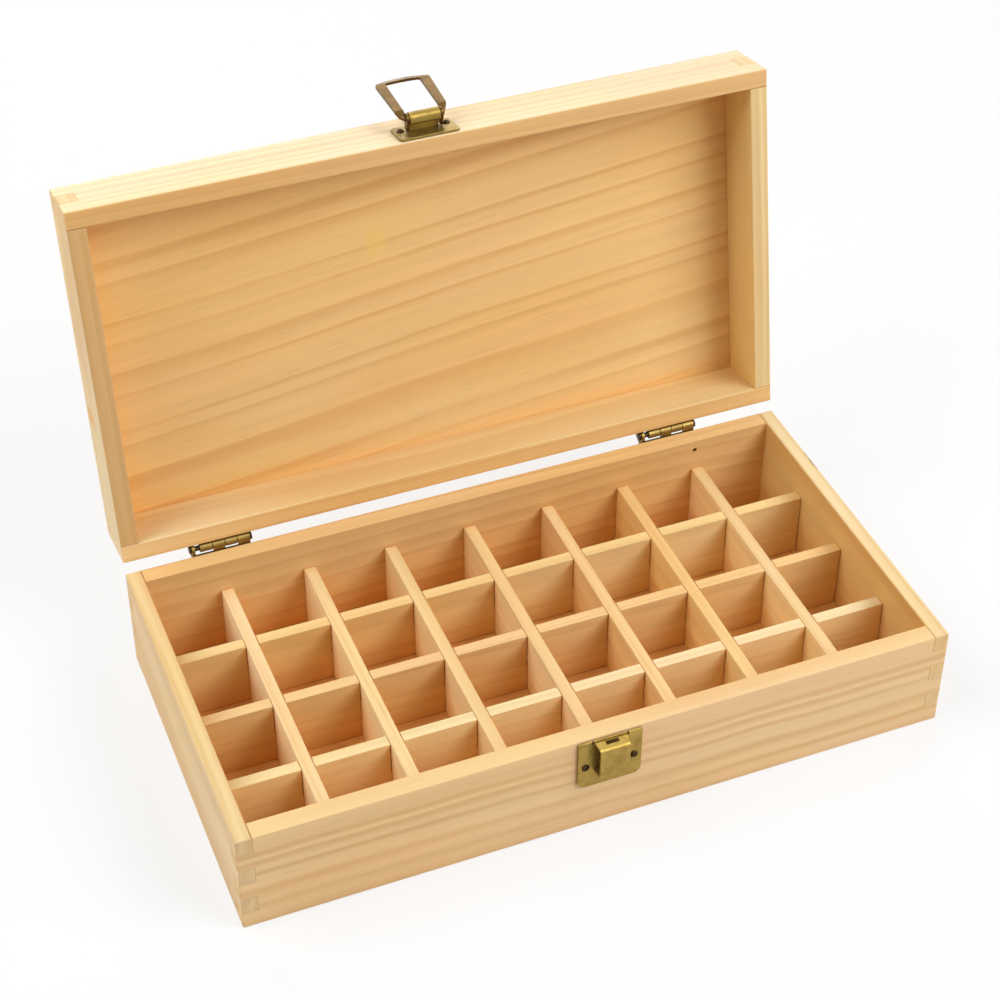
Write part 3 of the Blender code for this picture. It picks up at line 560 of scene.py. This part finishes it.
def boards():
    """The case's walls, panels and dividers, each from its own board."""
    walls = {
        "base_front_wall": dict(
            pith=(0, -0.12, -0.1), seed=3.1, ring=0.0074, colour=(0.865, 0.60, 0.318),
            edge=(0.845, 0.63, 0.33), strength=0.78, softness=1.0, ripple=0.0036,
        ),
        "base_back_wall": dict(
            pith=(0, 0.16, -0.04), seed=8.4, ring=0.0052, colour=(0.88, 0.61, 0.272),
            edge=(0.83, 0.565, 0.255),
        ),
        "base_left_wall": dict(
            pith=(0, -0.19, -0.02), seed=12.7, turn=ALONG_Y, ring=0.0046, colour=(0.834, 0.624, 0.345),
            edge=(0.826, 0.642, 0.33), softness=0.8,
        ),
        # The right wall: darker and more orange than the other walls, partly painted shade on its inner face
        "base_right_wall": dict(
            pith=(0, 0.18, 0.09), seed=17.2, turn=ALONG_Y, ring=0.0050, colour=(0.745, 0.505, 0.19),
            edge=(0.81, 0.636, 0.354), end=(0.80, 0.57, 0.30), spot=EDGE_KNOT,
        ),
        # The lid's front wall: its outer face pale cream as painted highlight, its rim darker orange as
        # painted shade
        "lid_front_wall": dict(
            pith=(0, -0.13, 0.12), seed=21.9, ring=0.0045, colour=(0.87, 0.69, 0.42), edge=(0.79, 0.49, 0.20),
        ),
        "lid_back_wall": dict(
            pith=(0, 0.15, 0.03), seed=26.3, ring=0.0050, colour=(0.78, 0.575, 0.285),
            edge=(0.89, 0.57, 0.23), fade=LID_BACK_FADE,
        ),
        "lid_left_wall": dict(
            pith=(0, -0.2, 0.05), seed=31.5, turn=ALONG_Y, ring=0.0048, colour=(0.80, 0.61, 0.335),
            edge=(0.71, 0.457, 0.19), end=LID_END_PINE, spot=SIDE_KNOT,
        ),
        "lid_right_wall": dict(
            pith=(0, 0.19, 0.02), seed=35.8, turn=ALONG_Y, ring=0.0051, colour=(0.825, 0.63, 0.265),
            edge=(0.86, 0.665, 0.33), end=LID_END_PINE, softness=0.8,
        ),
    }
    panels = {
        "lid_top_panel": dict(
            pith=(0, 0.19, -0.03), seed=41.2, turn=(0, 0, 5.5), ring=0.0105, colour=PANEL_PINE, strength=0.85,
            softness=0.15, wander=0.015, ripple=0.0009, spot=PANEL_STAIN, fade=PANEL_FADE,
        ),
        "base_bottom_panel": dict(
            pith=(0, -0.14, -0.03), seed=46.6, turn=(0, 0, -2), ring=0.007, colour=FLOOR_PINE_WITH_PAINTED_SHADE,
        ),
    }
    for slot, table in (("case_pine", walls), ("panel_pine", panels)):
        for node, board in table.items():
            refined(node, BOARD_EASING, pine(node + "_pine", BODY_OF[node], **board))
    draw = random.Random(5)
    for node in sorted(name for name in frame["nodes"] if "_divider_" in name):
        turn = ALONG_Y if node.startswith("cross") else (0, 0, 0)
        pith = (0, draw.uniform(-0.3, 0.3), draw.uniform(-0.1, 0.1))
        ring = draw.uniform(0.003, 0.0055)
        seed = draw.uniform(50, 90)
        colour, edge = DIVIDER_PINES[node]
        fade = DIVIDER_PAINTED_LIGHT.get(node)
        material = pine(
            node + "_pine", "base", pith, seed, turn, ring, colour, edge, strength=DIVIDER_RINGS, fade=fade,
        )
        refined(node, DIVIDER_EASING, material)


def add_film(builder, across, deep, levels, side_x, side_y):
    """One film of glue, mirrored to its corner."""
    spans = (sorted(side_x * value for value in across), sorted(side_y * value for value in deep), levels)
    middle = [(low + high) / 2 for low, high in spans]
    size = [high - low for low, high in spans]
    made = bmesh.ops.create_cube(builder, size=1.0)
    place = Matrix.Translation(middle) @ Matrix.Diagonal((*size, 1))
    bmesh.ops.transform(builder, matrix=place, verts=made["verts"])


def glue_lines(case, count, front_owns_rim, glue):
    """Thin films of glue that fill a case's finger joints, a little below the faces."""
    closing = CLOSING.get(case, Matrix.Identity(4))
    walls = []
    for side in ("front", "back", "left", "right"):
        mesh = frame["nodes"][f"{case}_{side}_wall"].data
        walls.append([closing @ vertex.co for vertex in mesh.vertices])
    front, back, left, right = walls
    heights = [point.z for point in front]
    low, high = min(heights), max(heights)
    inner_x, inner_y = -max(point.x for point in left), -max(point.y for point in front)
    across = (inner_x, max(point.x for point in right) - GLUE_INSET)
    deep = (inner_y, max(point.y for point in back) - GLUE_INSET)
    behind_finger = {
        True: (across, (inner_y - WOOD_GAP, inner_y)),
        False: ((inner_x - WOOD_GAP, inner_x), deep),
    }
    pitch = (high - low) / count
    builder = bmesh.new()

    # A film on the inner side of each finger, and one under each finger but the lowest
    for side_x, side_y, level in product((-1, 1), (-1, 1), range(count)):
        floor, top = low + level * pitch, low + (level + 1) * pitch
        from_rim = level if case == "lid" else count - 1 - level
        front_owns = front_owns_rim == (from_rim % 2 == 0)
        near_z, far_z = floor + WOOD_GAP / 2, top - WOOD_GAP / 2
        if level == 0:
            near_z += GLUE_INSET
        if level == count - 1:
            far_z -= GLUE_INSET
        add_film(builder, *behind_finger[front_owns], (near_z, far_z), side_x, side_y)
        if level:
            add_film(builder, across, deep, (floor - WOOD_GAP / 2, near_z), side_x, side_y)
    bmesh.ops.transform(builder, matrix=closing.inverted(), verts=builder.verts)
    bmesh.ops.recalc_face_normals(builder, faces=builder.faces)
    films = placed(f"{case}_glue", finished_mesh(builder, f"{case}_glue", glue))
    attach(films, case)


def hardware():
    """The hinges and the latch."""
    # The strike: a wider reach of dirt that also paints shade into the gap beside its tongue
    strike = bronze(
        "bronze_strike", (0.455, 0.315, 0.074), (0.17, 0.095, 0.02), 0.3, roughness=0.44, reach=0.005,
    )
    # The lid plate's lug: a darker copy of the bronze with a wider reach of dirt, as painted shade under its
    # barrel
    lug = bronze("bronze_lug", (0.35, 0.24, 0.056), (0.10, 0.057, 0.014), 0.5, roughness=0.42, reach=0.0035)
    hinge = bronze("bronze_hinge", (0.31, 0.21, 0.06), (0.14, 0.085, 0.022), 0.9, roughness=0.40)
    turned = bronze("bronze_turned", (0.075, 0.04, 0.015), (0.03, 0.016, 0.006), 0.7)
    # The loop: a dark copy of the bronze, partly painted shade of its bars turned away from the lamps
    loop = bronze("bronze_loop", (0.165, 0.095, 0.024), (0.045, 0.02, 0.005), 1.1, reach=0.003)
    latch = {"latch_loop": loop, "latch_strike_plate": strike, "latch_lid_plate": lug}
    for node in frame["nodes"]:
        if "screw" in node or "pin" in node:
            refined(node, SCREW_EASING, turned)
        elif node in latch or "leaf" in node:
            refined(node, METAL_EASING, latch.get(node, hinge))


# Studio

def floor_plane():
    """A plain pale floor that glows to the camera, and more so far from the box."""
    mesh = bpy.data.meshes.new("floor")
    corners = [(x * FLOOR_REACH, y * FLOOR_REACH, 0) for x, y in ((-1, -1), (1, -1), (1, 1), (-1, 1))]
    mesh.from_pydata(corners, [], [(0, 1, 2, 3)])
    floor = placed("floor", mesh)
    material, tree, shader = new_material("floor")
    shader.inputs["Base Color"].default_value = FLOOR_GREY
    shader.inputs["Roughness"].default_value = 0.9
    seen = tree.node("ShaderNodeLightPath").outputs["Is Camera Ray"]
    glow = tree.node("ShaderNodeEmission", (("Color", WHITE), ("Strength", 1.0))).outputs[0]
    away = tree.length(tree.node("ShaderNodeTexCoord").outputs["Object"])
    share = tree.math("MULTIPLY", seen, tree.span(away, *GLOW_DISTANCES, *GLOW_SHARES))
    blend = tree.node("ShaderNodeMixShader", ((0, share), (1, shader.outputs[0]), (2, glow))).outputs[0]
    tree.link(blend, tree.tree.nodes["Material Output"].inputs["Surface"])
    mesh.materials.append(material)


def surround():
    """A white surround for the camera and for gloss, which lights nothing else."""
    world = bpy.data.worlds.new("studio")
    bpy.context.scene.world = world
    world.use_nodes = True
    tree = Tree(world.node_tree)
    path = tree.node("ShaderNodeLightPath").outputs
    background = world.node_tree.nodes["Background"]
    background.inputs["Color"].default_value = WHITE
    seen = tree.math("MAXIMUM", path["Is Camera Ray"], path["Is Glossy Ray"])
    tree.link(seen, background.inputs["Strength"])


def lamp(name, azimuth, elevation, size, power):
    """A soft square lamp that points at the box; azimuth 0 is in front and 90 on the right."""
    across, up = radians(azimuth), radians(elevation)
    away = Vector((sin(across) * cos(up), -cos(across) * cos(up), sin(up)))
    light = bpy.data.lights.new(name, "AREA")
    light.size = size
    light.energy = power
    holder = placed(name, light)
    holder.location = Vector(LIT_POINT) + away * LAMP_DISTANCE
    holder.rotation_euler = away.to_track_quat("Z", "Y").to_euler()


def camera():
    """The photograph's view."""
    lens = bpy.data.cameras.new("camera")
    lens.lens = CAMERA_LENS
    lens.shift_y = CAMERA_SHIFT
    holder = placed("camera", lens)
    holder.location = CAMERA_PLACE
    holder.rotation_euler = [radians(angle) for angle in CAMERA_TURN]
    bpy.context.scene.camera = holder


boards()
wood_glue = glue_material()
for settings in CASES:
    glue_lines(*settings, wood_glue)
hardware()
floor_plane()
surround()
for settings in LAMPS:
    lamp(*settings)
camera()
bpy.context.scene.view_settings.view_transform = "Standard"
